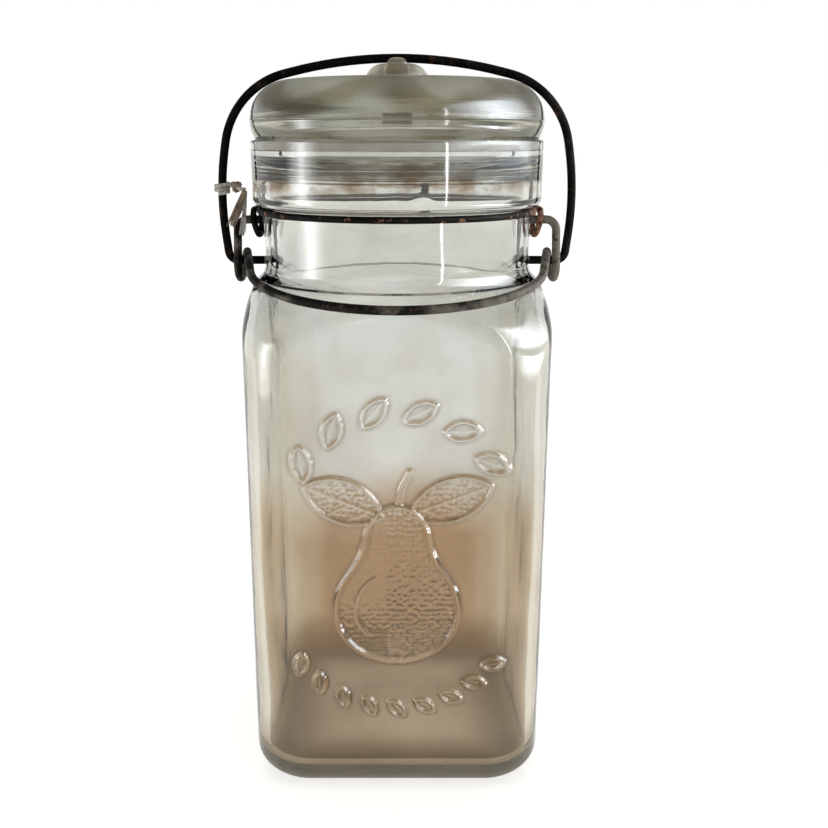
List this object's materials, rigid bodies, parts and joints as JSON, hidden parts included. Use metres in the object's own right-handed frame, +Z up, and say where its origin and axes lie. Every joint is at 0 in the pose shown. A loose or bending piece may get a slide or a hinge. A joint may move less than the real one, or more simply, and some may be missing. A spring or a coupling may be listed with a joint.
{
  "type": "canning jar",
  "caption": "Square glass canning jar with a domed glass lid, a rubber sealing ring and a wire bail clamped by a lever at the front.",
  "frame": {"origin": "on the jar's axis at the plane its base stands on", "axes": "+Z up through the mouth; -Y is the front, where the closure's lever handle hangs; +X to the viewer's right when the front is seen"},
  "size_m": [0.1043, 0.0951, 0.206],
  "materials": {
    "jar_glass": "clear pressed glass, slightly grey-green at the edges",
    "lid_glass": "clear pressed glass",
    "ring_rubber": "matte, aged grey-brown",
    "worn_wire": "dull grey with brown rust",
    "dark_wire": "near black, tarnished",
    "cotton": "old grey-white cotton string"
  },
  "bodies": {
    "jar": {"jar_body": "jar_glass", "sealing_ring": "ring_rubber", "neck_wire": "worn_wire"},
    "lever": {"lever_wire": "worn_wire"},
    "bail": {"bail_wire": "dark_wire", "string_tie": "cotton"},
    "lid": {"glass_lid": "lid_glass"}
  },
  "joints": [
    {"name": "lever_pivot", "type": "hinge", "parent": "jar", "child": "lever", "pos_m": [0, 0, 0.1606], "axis": [-1, 0, 0], "range_deg": [0, 54]},
    {"name": "bail_pivot", "type": "hinge", "parent": "lever", "child": "bail", "pos_m": [0, 0.0005, 0.14887], "axis": [-1, 0, 0], "range_deg": [-45, 0]},
    {"name": "lid_lift", "type": "slide", "parent": "jar", "child": "lid", "axis": [0, 0, 1], "range_m": [0, 0.0016]}
  ],
  "couplings": [
    {"joint": "bail_pivot", "follows": "lever_pivot", "ratio": -0.813},
    {"joint": "lid_lift", "follows": "lever_pivot", "m_per_rad": 0.0016}
  ]
}
